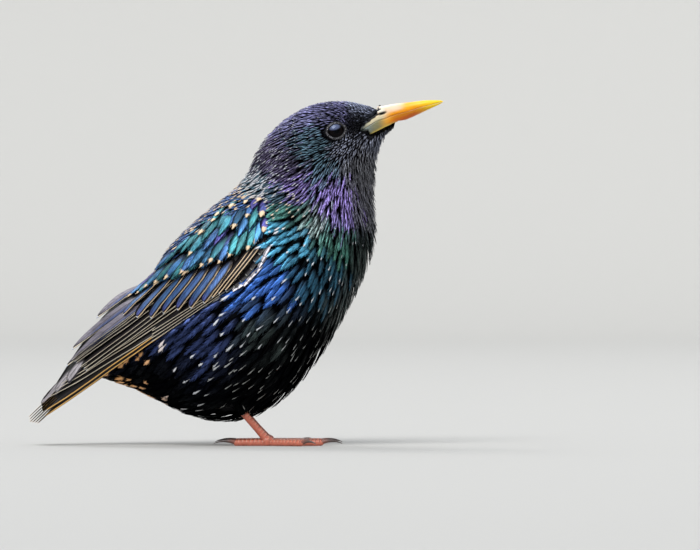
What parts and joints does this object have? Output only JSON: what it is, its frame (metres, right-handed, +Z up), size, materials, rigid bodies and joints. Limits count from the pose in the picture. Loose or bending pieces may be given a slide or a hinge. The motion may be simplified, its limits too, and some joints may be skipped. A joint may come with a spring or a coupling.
{
  "type": "starling",
  "caption": "Life-size still starling in glossy spring plumage with a yellow bill, standing low on both feet with its wings folded and its head raised.",
  "frame": {"origin": "on the floor, at the middle of the bird's outer box", "axes": "+X the way the bird looks, towards the bill's tip, +Y its left side, +Z up"},
  "size_m": [0.1616, 0.0612, 0.1346],
  "materials": {
    "crown_plumage": "glossy body feathers with violet and blue sheen",
    "neck_plumage": "long pointed throat and nape feathers with violet sheen",
    "body_plumage": "glossy blue, green and black body feathers with small pale tips",
    "wing_plumage": "blue coverts and blackish flight feathers with buff edges",
    "tail_plumage": "blackish brown tail feathers with buff edges",
    "bill": "smooth yellow horn, blue grey at the base of the lower half",
    "eye": "wet dark brown",
    "leg_skin": "scaly orange pink skin",
    "claw": "smooth brown grey horn"
  },
  "bodies": {
    "root": {"head": "crown_plumage", "neck": "neck_plumage", "torso": "body_plumage", "bill_upper": "bill", "bill_lower": "bill", "eye_left": "eye", "eye_right": "eye", "wing_left": "wing_plumage", "wing_right": "wing_plumage", "tail": "tail_plumage", "thigh_left": "body_plumage", "thigh_right": "body_plumage", "shank_left": "leg_skin", "shank_right": "leg_skin", "foot_left": "leg_skin", "foot_right": "leg_skin", "claw_inner_left": "claw", "claw_inner_right": "claw", "claw_middle_left": "claw", "claw_middle_right": "claw", "claw_outer_left": "claw", "claw_outer_right": "claw", "claw_hind_left": "claw", "claw_hind_right": "claw"}
  },
  "joints": []
}
